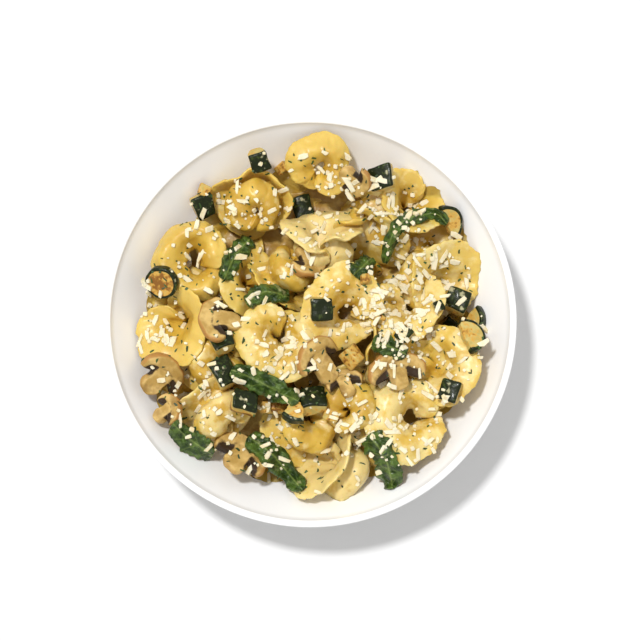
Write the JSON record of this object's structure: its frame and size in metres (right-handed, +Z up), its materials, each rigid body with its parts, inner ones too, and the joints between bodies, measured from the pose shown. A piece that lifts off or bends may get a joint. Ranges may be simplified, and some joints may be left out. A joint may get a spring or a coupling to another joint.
{
  "type": "tortellini",
  "caption": "Round coupe bowl on a foot ring, heaped with stuffed ring pasta, mushroom slices, courgette chunks and wilted spinach under shredded cheese.",
  "frame": {"origin": "middle of the bowl's foot ring, on the surface that it stands on", "axes": "+Z up out of the bowl, +X to the diner's right, +Y away from the diner"},
  "size_m": [0.22, 0.2194, 0.0694],
  "materials": {
    "ceramic": "white gloss glaze",
    "pasta": "moist cooked egg pasta with a thin cream sauce",
    "cream": "cream sauce over hidden pasta",
    "mushroom": "sauteed mushroom, golden cap rim and dark gills",
    "courgette": "sauteed courgette, dark glossy skin and pale flesh",
    "spinach": "wilted spinach leaf, dark green and moist"
  },
  "bodies": {
    "root": {"bowl": "ceramic", "courgette_01": "courgette", "courgette_02": "courgette", "courgette_03": "courgette", "courgette_04": "courgette", "courgette_05": "courgette", "courgette_06": "courgette", "courgette_07": "courgette", "courgette_08": "courgette", "courgette_09": "courgette", "courgette_10": "courgette", "courgette_11": "courgette", "courgette_12": "courgette", "courgette_13": "courgette", "courgette_14": "courgette", "courgette_15": "courgette", "courgette_16": "courgette", "courgette_17": "courgette", "courgette_18": "courgette", "mushroom_01": "mushroom", "mushroom_02": "mushroom", "mushroom_03": "mushroom", "mushroom_04": "mushroom", "mushroom_05": "mushroom", "mushroom_06": "mushroom", "mushroom_07": "mushroom", "mushroom_08": "mushroom", "mushroom_09": "mushroom", "pasta_bed": "cream", "spinach_01": "spinach", "spinach_02": "spinach", "spinach_03": "spinach", "spinach_04": "spinach", "spinach_05": "spinach", "spinach_06": "spinach", "spinach_07": "spinach", "spinach_08": "spinach", "spinach_09": "spinach", "tortellino_01": "pasta", "tortellino_02": "pasta", "tortellino_03": "pasta", "tortellino_04": "pasta", "tortellino_05": "pasta", "tortellino_06": "pasta", "tortellino_07": "pasta", "tortellino_08": "pasta", "tortellino_09": "pasta", "tortellino_10": "pasta", "tortellino_11": "pasta", "tortellino_12": "pasta", "tortellino_13": "pasta", "tortellino_14": "pasta", "tortellino_15": "pasta", "tortellino_16": "pasta", "tortellino_17": "pasta", "tortellino_18": "pasta", "tortellino_19": "pasta", "tortellino_20": "pasta", "tortellino_21": "pasta", "tortellino_22": "pasta"}
  },
  "joints": []
}
